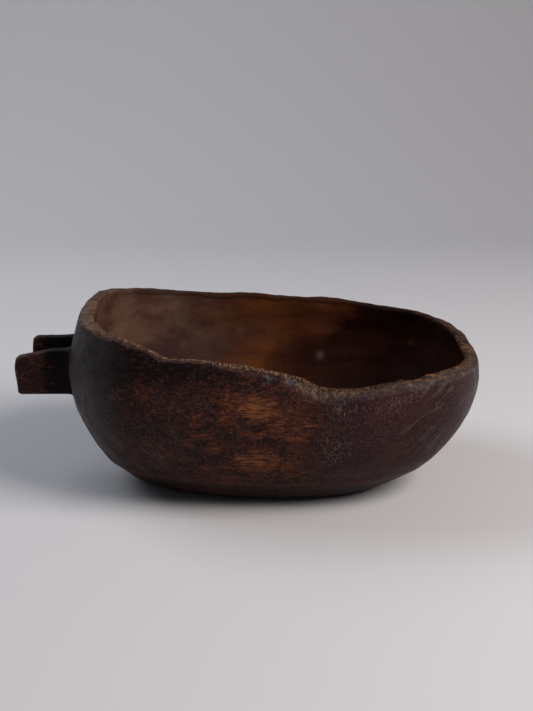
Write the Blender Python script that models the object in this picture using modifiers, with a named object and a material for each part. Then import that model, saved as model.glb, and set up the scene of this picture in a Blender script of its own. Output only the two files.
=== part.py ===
"""Hand-carved wooden feed scoop: an oval hewn bowl with two short handle prongs at its back end.

Metres, +Z up. The scoop stands on z = 0, +X runs from the prongs to the pouring lip, and the origin is
the middle of the whole footprint, under the bowl. The bowl and both prongs are cut from one billet of
wood. They are kept as three solids that follow the carved forms, with a hair of clearance at the roots.
"""

import math

import bmesh
import bpy
from mathutils import Matrix, Vector

# Bowl, outside. Heights are above the surface it stands on.
BODY_LENGTH = 0.286
BODY_WIDTH = 0.210
WAIST_HEIGHT = 0.082        # where the bowl is longest and widest
PLAN_POWER = 2.8            # superellipse power of the oval seen from above, 2 is an ellipse
FOOT_POWER = 2.35           # the same at the foot, which is rounder
WALL_POWER = 1.74           # superellipse power of the wall from the foot up to the waist
LIP_SWELL = 0.026           # how much wider the oval is at the lip end than at the back end
FOOT_BACK = 0.625           # reach of the flat foot, as a share of the half length or half width
FOOT_LIP = 0.47
FOOT_SIDE = 0.51
BACK_LEAN = 0.0088          # how far the wall leans back in above the waist
LIP_LEAN = 0.0085
SIDE_LEAN = 0.0040
LEAN_SPAN = 0.044           # height above the waist over which it leans that far
LEAN_POWER = 1.6

# Rim. Its height falls from the back end to the lip, with one worn hollow in the near side.
RIM_MIDDLE = 0.1073
RIM_FALL = 0.0100
RIM_SAG = 0.0042
RIM_TWIST = 0.0060
DIP_DEPTH = 0.0108
DIP_X = 0.047               # from the middle of the bowl, towards the lip
DIP_WIDTH = 0.037
DIP_SIDE_FADE = 0.012

# Wall thickness
FLOOR_THICKNESS = 0.014
RIM_THICKNESS = 0.010
RIM_ROUND = 0.0032

# Prongs: the handle is two stubs with a finger gap between them.
PRONG_REACH = 0.039         # how far the longer, near prong stands past the bowl
FAR_PRONG_SHORTER = 0.0046
PRONG_THICKNESS = 0.011
PRONG_SPACING = 0.0378      # centre to centre
PRONG_BOTTOM = 0.0630
PRONG_TOP = 0.0958
PRONG_WORN_FROM = 0.026     # the top edge is worn down over this much of the tip
NEAR_PRONG_DROP = 0.0060
FAR_PRONG_DROP = 0.0008
PRONG_ROOT_DEPTH = 0.030
PRONG_ROUND = 0.0026

ROOT_GAP = 0.0003           # clearance between a prong and the wall it grows from

# Fineness of the skin
SEGMENTS = 72
FOOT_RINGS = 3
WALL_RINGS = 10
LEAN_RINGS = 4
ROUNDING_STEPS = 3
SHARP_ANGLE = math.radians(40)

# Wood: colour and roughness
BOWL_COLOUR = (0.075, 0.035, 0.022)
BOWL_ROUGHNESS = 0.50
PRONG_COLOUR = (0.045, 0.024, 0.017)
PRONG_ROUGHNESS = 0.45

BODY_X = PRONG_REACH / 2
HALF_LENGTH = BODY_LENGTH / 2
HALF_WIDTH = BODY_WIDTH / 2
FOOT_CENTRE_X = HALF_LENGTH * (FOOT_LIP - FOOT_BACK) / 2


def oval(turn, swell):
    """Unit oval seen from above, at an angle around the bowl from the lip. It is rounder at the foot."""
    power = FOOT_POWER + (PLAN_POWER - FOOT_POWER) * swell
    cos_turn = math.cos(turn)
    sin_turn = math.sin(turn)
    reach = (abs(cos_turn) ** power + abs(sin_turn) ** power) ** (-1 / power)
    return reach * cos_turn, reach * sin_turn


def rim_height(x, y):
    """Height of the rim over a point that is measured from the middle of the bowl."""
    along = x / HALF_LENGTH
    height = RIM_MIDDLE - RIM_FALL * along + RIM_SAG * along ** 2 - RIM_TWIST * along ** 3
    near_side = 1 / (1 + math.exp(y / DIP_SIDE_FADE))
    return height - DIP_DEPTH * near_side * math.exp(-((x - DIP_X) / DIP_WIDTH) ** 2)


def wall_point(turn, height, swell):
    """Point of the outer wall, where swell runs from 0 at the foot's edge to 1 at the waist."""
    along, across = oval(turn, swell)
    foot_along = (FOOT_BACK + FOOT_LIP) / 2 - (FOOT_BACK - FOOT_LIP) / 2 * along
    end_lean = BACK_LEAN if along < 0 else LIP_LEAN
    lean = (max(height - WAIST_HEIGHT, 0) / LEAN_SPAN) ** LEAN_POWER
    x = along * (HALF_LENGTH * (foot_along + (1 - foot_along) * swell) - end_lean * lean)
    y = across * (HALF_WIDTH * (FOOT_SIDE + (1 - FOOT_SIDE) * swell) - SIDE_LEAN * lean)
    return Vector((x, y * (1 + LIP_SWELL * along), height))


def outer_profile(turn, top=None):
    """Points of one upright section of the outside, from the middle of the foot to the rim."""
    foot_edge = wall_point(turn, 0, 0)
    foot_middle = Vector((FOOT_CENTRE_X, 0, 0))
    points = [foot_middle.lerp(foot_edge, ring / FOOT_RINGS) for ring in range(1, FOOT_RINGS)]
    for ring in range(WALL_RINGS + 1):
        angle = math.radians(90) * ring / WALL_RINGS
        height = WAIST_HEIGHT * (1 - math.cos(angle) ** (2 / WALL_POWER))
        points.append(wall_point(turn, height, math.sin(angle) ** (2 / WALL_POWER)))
    rim = top
    if rim is None:
        rim = WAIST_HEIGHT + LEAN_SPAN / 2
        for _ in range(6):
            at_rim = wall_point(turn, rim, 1)
            rim = rim_height(at_rim.x, at_rim.y)
    for ring in range(1, LEAN_RINGS + 1):
        height = WAIST_HEIGHT + (rim - WAIST_HEIGHT) * ring / LEAN_RINGS
        points.append(wall_point(turn, height, 1))
    return points


def body_skin(top=None):
    """The outer skin of the bowl, open at the top: a half sphere shaped into the hewn form."""
    rings = FOOT_RINGS + WALL_RINGS + LEAN_RINGS
    skin = bmesh.new()
    bmesh.ops.create_uvsphere(skin, u_segments=SEGMENTS, v_segments=2 * rings, radius=1)
    upper = [vert for vert in skin.verts if vert.co.z > 0.5 / rings]
    bmesh.ops.delete(skin, geom=upper, context='VERTS')
    for vert in skin.verts:
        latitude = math.degrees(math.asin(max(-1, min(1, vert.co.z)))) + 90
        ring = round(latitude / 90 * rings)
        turn = math.atan2(vert.co.y, vert.co.x)
        vert.co = outer_profile(turn, top)[ring - 1] if ring else Vector((FOOT_CENTRE_X, 0, 0))
    bmesh.ops.translate(skin, verts=skin.verts, vec=(BODY_X, 0, 0))
    bmesh.ops.recalc_face_normals(skin, faces=skin.faces)
    return skin


def wood(name, colour, roughness):
    """A plain wood finish for one sub-part."""
    material = bpy.data.materials.new(name)
    material.use_nodes = True
    shader = material.node_tree.nodes["Principled BSDF"]
    shader.inputs["Base Color"].default_value = (*colour, 1)
    shader.inputs["Roughness"].default_value = roughness
    shader.inputs["Metallic"].default_value = 0
    return material


def add_object(name, mesh_data, collection, material=None):
    """Link a mesh into a collection. Cutters have no material."""
    mesh = bpy.data.meshes.new(name)
    mesh_data.to_mesh(mesh)
    mesh_data.free()
    piece = bpy.data.objects.new(name, mesh)
    collection.objects.link(piece)
    if material:
        mesh.materials.append(material)
        mesh.shade_smooth()
        mesh.set_sharp_from_angle(angle=SHARP_ANGLE)
    return piece


def hewn_bowl(collection):
    """The hollow bowl: the outer skin given its wall, thicker at the floor, with a rounded rim."""
    material = wood("bowl_wood", BOWL_COLOUR, BOWL_ROUGHNESS)
    bowl = add_object("hewn_bowl", body_skin(), collection, material)
    wall_group = bowl.vertex_groups.new(name="wall")
    for vert in bowl.data.vertices:
        rise = min(vert.co.z / WAIST_HEIGHT, 1)
        thickness = FLOOR_THICKNESS + (RIM_THICKNESS - FLOOR_THICKNESS) * rise
        wall_group.add([vert.index], thickness / FLOOR_THICKNESS, 'REPLACE')
    shell = bowl.modifiers.new("wall", 'SOLIDIFY')
    shell.thickness = FLOOR_THICKNESS
    shell.offset = -1
    shell.vertex_group = wall_group.name
    shell.use_even_offset = True
    shell.use_quality_normals = True
    round_rim = bowl.modifiers.new("rounded_rim", 'BEVEL')
    round_rim.limit_method = 'ANGLE'
    round_rim.angle_limit = SHARP_ANGLE
    round_rim.width = RIM_ROUND
    round_rim.segments = ROUNDING_STEPS
    return bowl


def body_cutter(collection):
    """The bowl's closed outer form, a little enlarged, which shapes the roots of the prongs."""
    form = body_skin(top=WAIST_HEIGHT + LEAN_SPAN)
    rim_edges = [edge for edge in form.edges if edge.is_boundary]
    bmesh.ops.contextual_create(form, geom=rim_edges)
    bmesh.ops.recalc_face_normals(form, faces=form.faces)
    form.normal_update()
    grown = [vert.co + vert.normal * ROOT_GAP for vert in form.verts]
    for vert, place in zip(form.verts, grown):
        vert.co = place
    cutter = add_object("bowl_form", form, collection)
    cutter.hide_render = True
    cutter.display_type = 'WIRE'
    return cutter


def prong(name, y, tip_x, worn_drop, collection, cutter):
    """One handle stub: a thick board on edge, worn down at the top of its tip."""
    root_x = BODY_X - HALF_LENGTH + PRONG_ROOT_DEPTH
    size = Vector((root_x - tip_x, PRONG_THICKNESS, PRONG_TOP - PRONG_BOTTOM))
    middle = Vector(((root_x + tip_x) / 2, y, (PRONG_TOP + PRONG_BOTTOM) / 2))
    board = bmesh.new()
    placed = Matrix.Translation(middle) @ Matrix.Diagonal((*size, 1))
    bmesh.ops.create_cube(board, size=1, matrix=placed)
    worn_x = tip_x + PRONG_WORN_FROM
    everything = board.verts[:] + board.edges[:] + board.faces[:]
    bmesh.ops.bisect_plane(board, geom=everything, plane_co=(worn_x, 0, 0), plane_no=(1, 0, 0))
    for vert in board.verts:
        if vert.co.x < (tip_x + worn_x) / 2 and vert.co.z > middle.z:
            vert.co.z -= worn_drop
    bmesh.ops.recalc_face_normals(board, faces=board.faces)
    material = wood(name + "_wood", PRONG_COLOUR, PRONG_ROUGHNESS)
    stub = add_object(name, board, collection, material)
    rounding = stub.modifiers.new("worn_corners", 'BEVEL')
    rounding.limit_method = 'ANGLE'
    rounding.angle_limit = SHARP_ANGLE
    rounding.width = PRONG_ROUND
    rounding.segments = ROUNDING_STEPS
    trim = stub.modifiers.new("root", 'BOOLEAN')
    trim.operation = 'DIFFERENCE'
    trim.solver = 'EXACT'
    trim.object = cutter
    return stub


def build():
    for old in list(bpy.data.objects):
        bpy.data.objects.remove(old, do_unlink=True)
    scoop = bpy.data.collections.new("feed_scoop")
    cutters = bpy.data.collections.new("cutters")
    for collection in (scoop, cutters):
        bpy.context.scene.collection.children.link(collection)
    hewn_bowl(scoop)
    cutter = body_cutter(cutters)
    near_tip = BODY_X - HALF_LENGTH - PRONG_REACH
    far_tip = near_tip + FAR_PRONG_SHORTER
    prong("near_prong", -PRONG_SPACING / 2, near_tip, NEAR_PRONG_DROP, scoop, cutter)
    prong("far_prong", PRONG_SPACING / 2, far_tip, FAR_PRONG_DROP, scoop, cutter)


build()
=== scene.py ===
"""Looks of the hand-carved feed scoop: the hewn bowl and its two handle prongs in worn, dark wood.

Metres, +Z up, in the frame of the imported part. The bowl's long axis is X, with the prongs at -X and the
pouring lip at +X, and the worn hollow in the rim is on the -Y side.
"""

import itertools
import math

import bpy
import numpy as np
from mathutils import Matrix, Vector
from mathutils.bvhtree import BVHTree


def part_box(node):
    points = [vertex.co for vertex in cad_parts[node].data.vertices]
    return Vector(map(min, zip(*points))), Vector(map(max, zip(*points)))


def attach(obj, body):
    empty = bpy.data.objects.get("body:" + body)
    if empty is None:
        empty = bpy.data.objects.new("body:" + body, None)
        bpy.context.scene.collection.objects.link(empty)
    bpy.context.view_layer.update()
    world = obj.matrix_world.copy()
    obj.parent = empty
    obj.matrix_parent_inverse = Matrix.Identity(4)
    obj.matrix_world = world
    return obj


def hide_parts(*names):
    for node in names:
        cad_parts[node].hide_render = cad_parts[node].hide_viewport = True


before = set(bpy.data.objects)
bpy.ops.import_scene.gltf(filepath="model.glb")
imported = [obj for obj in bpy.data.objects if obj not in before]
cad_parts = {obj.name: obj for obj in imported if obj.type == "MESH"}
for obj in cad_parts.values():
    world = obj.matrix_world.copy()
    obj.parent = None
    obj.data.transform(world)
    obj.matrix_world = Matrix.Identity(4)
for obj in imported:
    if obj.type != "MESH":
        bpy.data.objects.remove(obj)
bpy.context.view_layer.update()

# Form of the bowl, as in the part
HALF_LENGTH = 0.143
HALF_WIDTH = 0.105
WAIST_HEIGHT = 0.082
PLAN_POWER = 2.8
FOOT_POWER = 2.35
WALL_POWER = 1.74
LIP_SWELL = 0.026
FOOT_BACK = 0.625
FOOT_LIP = 0.47
FOOT_SIDE = 0.51
BACK_LEAN = 0.0088
LIP_LEAN = 0.0085
SIDE_LEAN = 0.0040
LEAN_SPAN = 0.044
LEAN_POWER = 1.6
RIM_MIDDLE = 0.1073
RIM_FALL = 0.0100
RIM_SAG = 0.0042
RIM_TWIST = 0.0060
DIP_DEPTH = 0.0108
DIP_X = 0.047
DIP_WIDTH = 0.037
DIP_SIDE_FADE = 0.012
FLOOR_THICKNESS = 0.014
RIM_THICKNESS = 0.010
BODY_X = 0.0195
FOOT_CENTRE_X = HALF_LENGTH * (FOOT_LIP - FOOT_BACK) / 2

# The rim's face slopes outward on the near side: (place along X, reach, drop)
RIM_SLOPES = (
    (0.043, 0.021, 0.0052),
    (0.085, 0.030, 0.0016),
    (0.004, 0.024, 0.0026),
)

# Depth of the tool marks
OUTER_UNEVEN = 0.00075
INNER_UNEVEN = 0.00060
PARING_DEPTH = 0.00050
END_CUT_DEPTH = 0.00050
BACK_CUT_EXTRA = 0.00100    # how much deeper the end cuts are at the prong end
RIDGE_HEIGHT = 0.00050
GOUGE_DEPTH = 0.00085
KNIFE_DEPTH = 0.00080
CUT_MIDDLE = 0.35           # taken off scallops, so that cuts go both in and out
FOOT_LINE = 0.0212          # height of the faint line above the foot

# Prongs
PRONG_COLUMNS = 144
PRONG_POWER = 5.0           # superellipse power of a prong's section
TIP_STATIONS = 16
RUN_STATIONS = 62
TIP_ROUND = 0.0052
TIP_REACH = 0.9             # how long the rounded tip is, as a share of its radius
ROOT_FLARE = 0.0060
ROOT_SINK = 0.0030          # how far a prong's end is sunk into the wall
# Strength of the painted shade on the wall round the prongs' roots
ROOT_PAINTED_SHADE = 3.0             # how dark the wall is round the roots
RAY_START_X = -0.3
BACK_WALL_X = -0.12         # where a root ends if its ray misses the wall
WORN_TOP_REACH = 0.026
WORN_TIP_REACH = 0.030

# Fineness of the bowl's mesh
COLUMNS = 544
FOOT_ROWS = 9
WALL_ROWS = 50
LEAN_ROWS = 20
RIM_ROWS = 20
INNER_LEAN_ROWS = 16
INNER_WALL_ROWS = 42
FLOOR_ROWS = 14

# The rim's own bumps and hollows: (place along X, reach, height)
NEAR_RIM_BUMPS = (
    (-0.083, 0.0080, 0.0013),
    (-0.071, 0.0050, 0.0008),
    (-0.051, 0.0090, -0.0022),
    (-0.036, 0.0100, -0.0009),
    (-0.029, 0.0060, -0.0004),
    (0.010, 0.0050, -0.0002),
    (0.049, 0.0100, -0.0017),
    (0.070, 0.0140, -0.0008),
    (0.088, 0.0050, 0.0005),
    (0.102, 0.0040, 0.0004),
    (0.1115, 0.0070, -0.0024),
    (0.121, 0.0040, 0.0006),
    (0.116, 0.0250, -0.0009),
)
FAR_RIM_BUMPS = (
    (-0.105, 0.0300, 0.0013),
    (0.000, 0.0160, 0.0018),
    (0.040, 0.0500, 0.0022),
    (0.078, 0.0200, 0.0010),
    (0.118, 0.0200, 0.0006),
    (0.134, 0.0140, 0.0025),
    (0.160, 0.0120, 0.0026),
)
# Worn patches on the near side: (x, z, reach along x, reach along z, strength)
NEAR_PATCHES = (
    (0.004, 0.080, 0.020, 0.012, 0.95),
    (0.018, 0.064, 0.018, 0.014, 0.75),
    (0.008, 0.042, 0.024, 0.014, 0.90),
    (0.022, 0.032, 0.018, 0.010, 0.60),
    (-0.022, 0.060, 0.022, 0.018, 0.62),
    (-0.046, 0.070, 0.020, 0.018, 0.50),
    (-0.062, 0.082, 0.014, 0.012, 0.42),
    (-0.030, 0.032, 0.020, 0.012, 0.40),
    (0.036, 0.070, 0.016, 0.018, 0.50),
    (0.078, 0.060, 0.032, 0.024, 0.14),
)
# Chips knocked off the near rim: (x, z, reach along x, reach along z, depth)
CHIPS = (
    (0.0165, 0.1010, 0.0040, 0.0050, 0.0016),
    (0.0290, 0.0975, 0.0030, 0.0030, 0.0007),
)
# Pale round spots inside, on the far wall: (x, z, radius, strength)
PALE_SPOTS = (
    (0.0575, 0.0600, 0.0027, 0.60),
    (0.1275, 0.0750, 0.0024, 0.40),
    (-0.0066, 0.0790, 0.0028, 0.50),
    (-0.0977, 0.0900, 0.0050, 0.35),
)
# Clusters of scratches on the near side: (x, z, reach along x, reach along z, strength)
SCRATCHED = (
    (0.056, 0.050, 0.011, 0.012, 1.00),
    (0.061, 0.080, 0.008, 0.007, 0.80),
    (0.095, 0.082, 0.014, 0.007, 0.60),
    (0.062, 0.030, 0.012, 0.005, 0.70),
    (-0.084, 0.083, 0.008, 0.006, 0.60),
    (-0.055, 0.035, 0.030, 0.015, 0.35),
    (0.010, 0.045, 0.030, 0.012, 0.30),
)

# Numbers kept at each point of the wood for its material, each 0 where it has no effect
MASKS = ("bare", "rim", "inside", "soot_and_shade", "chip", "end", "scratched", "pale_spots", "gloss_and_painted_highlight", "slanted")

# Wood colours: the dark patina outside
BLACK_RED = (0.0140, 0.0036, 0.0030)
BLACK_PURPLE = (0.0130, 0.0042, 0.0052)
BROWN_RED = (0.0420, 0.0105, 0.0070)
BROWN_PURPLE = (0.0370, 0.0120, 0.0130)
MOTTLE_RED = (0.0520, 0.0140, 0.0110)
SPECKLE_BROWN = (0.1050, 0.0330, 0.0190)
CURL_ORANGE = (0.1550, 0.0600, 0.0300)
FLECK_TAN = (0.1350, 0.0680, 0.0400)
FLECK_PINK = (0.0950, 0.0510, 0.0440)
PIT_BLACK = (0.0060, 0.0020, 0.0024)
FLECK_BLACK = (0.0060, 0.0020, 0.0022)
STAIN_PURPLE = (0.0070, 0.0028, 0.0042)
SMOOTH_BROWN = (0.0380, 0.0140, 0.0145)
# Soot, and painted shade round the prongs' roots and on the prongs towards their roots
SOOT_AND_SHADE_BLACK = (0.0042, 0.0017, 0.0017)
LIP_SHADE = (0.0120, 0.0048, 0.0046)
FOOT_LINE_PALE = (0.0800, 0.0500, 0.0430)
FOOT_GREY = (0.0150, 0.0090, 0.0095)

# Worn and cut wood outside
RED_WOOD_DARK = (0.0360, 0.0100, 0.0065)
RED_WOOD_LIGHT = (0.1300, 0.0370, 0.0150)
BARE_WOOD_DARK = (0.0800, 0.0240, 0.0100)
BARE_WOOD_LIGHT = (0.2700, 0.1000, 0.0340)
# Painted grey sheen on the end walls
END_SHEEN_PAINTED_DARK = (0.0065, 0.0044, 0.0048)
END_SHEEN_PAINTED_LIGHT = (0.0440, 0.0300, 0.0295)
KNIFE_GREY = (0.0850, 0.0590, 0.0570)
SCRATCH_PALE = (0.1750, 0.1250, 0.1120)

# Inside
INNER_RED = (0.0700, 0.0180, 0.0068)
INNER_ORANGE = (0.1550, 0.0470, 0.0135)
INNER_CLOUD = (0.0860, 0.0340, 0.0190)
INNER_PIT = (0.0220, 0.0080, 0.0050)
INNER_SOOT = (0.0120, 0.0050, 0.0035)
# Greyer wood with a painted sheen at the back end inside
BACK_WOOD_PAINTED_SHEEN_DARK = (0.0620, 0.0330, 0.0310)
BACK_WOOD_PAINTED_SHEEN_LIGHT = (0.1500, 0.0890, 0.0610)
BACK_SHADE = (0.0340, 0.0170, 0.0190)
# Painted shade inside at the lip
LIP_WOOD_PAINTED_SHADE_DARK = (0.0060, 0.0012, 0.0011)
LIP_WOOD_PAINTED_SHADE_LIGHT = (0.0150, 0.0032, 0.0024)
FLOOR_WOOD_DARK = (0.0140, 0.0055, 0.0040)
FLOOR_WOOD_LIGHT = (0.0460, 0.0170, 0.0085)
# Pale round spots inside
PALE_SPOT_LIGHT = (0.1400, 0.1050, 0.0850)
PALE_SPOT_ORANGE = (0.1500, 0.0650, 0.0250)

# The rim and its chips, with painted glints on the chips and a painted highlight along the near rim's edge
TICK_DARK = (0.0300, 0.0140, 0.0090)
TAN = (0.2100, 0.1250, 0.0720)
DIP_TICK_DARK = (0.0180, 0.0080, 0.0055)
DIP_TAN = (0.1100, 0.0600, 0.0330)
RIM_ORANGE = (0.2400, 0.1000, 0.0380)
RIM_PIT = (0.0150, 0.0070, 0.0055)
BACK_RIM_DARK = (0.0750, 0.0430, 0.0290)
BACK_RIM_LIGHT = (0.1500, 0.0980, 0.0620)
CHIP_DARK = (0.0110, 0.0090, 0.0110)
# Painted glints on the chips
CHIP_PAINTED_GLINT = (0.1050, 0.0930, 0.0960)
# Painted highlight along the near rim's outer edge
PAINTED_HIGHLIGHT_PALE = (0.1200, 0.0850, 0.0880)

# Camera, stage and light
LENS_MM = 54.03
SENSOR_MM = 36
CAMERA_PLACE = (0.0143, -0.7363, 0.2973)
CAMERA_TILT = 73.94         # degrees up from straight down
FLOOR_FRONT = -2.5
FLOOR_BACK = 0.95
FLOOR_HALF_WIDTH = 3.5
SWEEP = 0.8                 # radius of the curve from the floor into the backdrop
SWEEP_STEPS = 24
BACKDROP_TOP = 3.0
FLOOR_COLOUR = (0.62, 0.60, 0.61, 1)
FLOOR_ROUGHNESS = 0.9
LIT_POINT = (0, 0, 0.05)
ROOM_COLOUR = (0.84, 0.88, 1.0, 1)
ROOM_STRENGTH = 0.08


# ---------------------------------------------------------------- random fields

def lattice_random(cell, seed):
    """A repeatable random number from 0 to 1 for each whole-number point of a lattice."""
    mixed = cell[..., 0] * 73856093 ^ cell[..., 1] * 19349663 ^ cell[..., 2] * 83492791 ^ seed * 668265263
    mixed = (mixed ^ mixed >> 13) * 1274126177 & 0x7FFFFFFF
    mixed = (mixed ^ mixed >> 15) * 668265263 & 0x7FFFFFFF
    return (mixed >> 7 & 0xFFFF) / 0xFFFF


def swells(points, size, seed):
    """Soft random swells about `size` metres apart, from -1 to 1."""
    place = points / np.array(size, float)
    cell = np.floor(place).astype(np.int64)
    part = place - cell
    part = part ** 3 * (part * (part * 6 - 15) + 10)
    total = np.zeros(points.shape[:-1])
    for corner in itertools.product((0, 1), repeat=3):
        weight = np.prod(np.where(np.array(corner) == 1, part, 1 - part), axis=-1)
        total += weight * lattice_random(cell + np.array(corner), seed)
    return total * 2 - 1


def scallops(points, size, seed, sharpness=14):
    """Tool cuts about `size` metres apart: 0 in the middle of a cut, up to about 1 where cuts meet."""
    place = points / np.array(size, float)
    cell = np.floor(place).astype(np.int64)
    total = np.zeros(points.shape[:-1])
    for corner in itertools.product((-1, 0, 1), repeat=3):
        near = cell + np.array(corner)
        centre = near + np.stack([lattice_random(near, seed + axis) for axis in range(3)], -1)
        total += np.exp(-sharpness * ((place - centre) ** 2).sum(-1))
    return np.clip(-np.log(total + 1e-9) / sharpness, 0, 1)


def blend(value, low, high):
    """0 below low, 1 above high, and smooth between them."""
    part = np.clip((value - low) / (high - low), 0, 1)
    return part * part * (3 - 2 * part)


def spread(x, z, mark_x, mark_z, wide, tall):
    """How far points are from the middle of an oval mark, squared: 1 at its edge."""
    return ((x - mark_x) / wide) ** 2 + ((z - mark_z) / tall) ** 2


# ---------------------------------------------------------------- the bowl's form

def superellipse(turn, power):
    """Points of a rounded outline of radius 1: power 2 is a circle, and a higher power is squarer."""
    reach = (np.abs(np.cos(turn)) ** power + np.abs(np.sin(turn)) ** power) ** (-1 / power)
    return reach * np.cos(turn), reach * np.sin(turn)


def oval(turn, swell):
    """The bowl's outline seen from above, which is rounder at the foot (swell 0) than at the waist (1)."""
    return superellipse(turn, FOOT_POWER + (PLAN_POWER - FOOT_POWER) * swell)


def wall_points(turn, height, swell):
    """Points of the outer wall, measured from the middle of the bowl."""
    along, across = oval(turn, swell)
    foot_along = (FOOT_BACK + FOOT_LIP) / 2 - (FOOT_BACK - FOOT_LIP) / 2 * along
    end_lean = np.where(along < 0, BACK_LEAN, LIP_LEAN)
    lean = (np.maximum(height - WAIST_HEIGHT, 0) / LEAN_SPAN) ** LEAN_POWER
    x = along * (HALF_LENGTH * (foot_along + (1 - foot_along) * swell) - end_lean * lean)
    y = across * (HALF_WIDTH * (FOOT_SIDE + (1 - FOOT_SIDE) * swell) - SIDE_LEAN * lean)
    return np.stack([x, y * (1 + LIP_SWELL * along), height + 0 * x], -1)


def rim_height(x, y):
    """Height of the rim, measured from the middle of the bowl, with the worn hollow in its near side."""
    along = x / HALF_LENGTH
    height = RIM_MIDDLE - RIM_FALL * along + RIM_SAG * along ** 2 - RIM_TWIST * along ** 3
    near_side = 1 / (1 + np.exp(y / DIP_SIDE_FADE))
    return height - DIP_DEPTH * near_side * np.exp(-((x - DIP_X) / DIP_WIDTH) ** 2)


def inward_direction(turn, height):
    """Level unit vectors that point from the wall into the bowl."""
    step = 1e-4
    ahead = wall_points(turn + step, height, 1.0) - wall_points(turn - step, height, 1.0)
    inward = np.stack([-ahead[..., 1], ahead[..., 0], 0 * turn], -1)
    return inward / np.linalg.norm(inward, axis=-1, keepdims=True)


def grid_normals(grid):
    """Outward normals of a grid of points whose columns close on themselves."""
    down = np.gradient(grid, axis=0)
    around = np.roll(grid, -1, axis=1) - np.roll(grid, 1, axis=1)
    normals = np.cross(around, down)
    length = np.linalg.norm(normals, axis=-1, keepdims=True)
    return normals / np.maximum(length, 1e-12)


def rim_crown(turn):
    """Height of the rim's crown, with the small bumps and hollows of a worn edge."""
    height = np.full_like(turn, WAIST_HEIGHT + LEAN_SPAN / 2)
    for _ in range(8):
        place = wall_points(turn, height, 1.0)
        height = rim_height(place[:, 0], place[:, 1])
    place[:, 2] = 0
    world_x = place[:, 0] + BODY_X
    near = blend(-place[:, 1], 0.0, 0.03)
    far = blend(place[:, 1], 0.0, 0.03)
    for side, bumps in ((near, NEAR_RIM_BUMPS), (far, FAR_RIM_BUMPS)):
        for x, reach, bump in bumps:
            height = height + bump * side * np.exp(-((world_x - x) / reach) ** 2)
    ragged = 0.45 + 0.55 * near * blend(-world_x, -0.03, 0.05)
    height = height + 0.00045 * swells(place, 0.017, 11) + 0.00040 * ragged * swells(place, 0.0065, 12)
    return height


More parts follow.
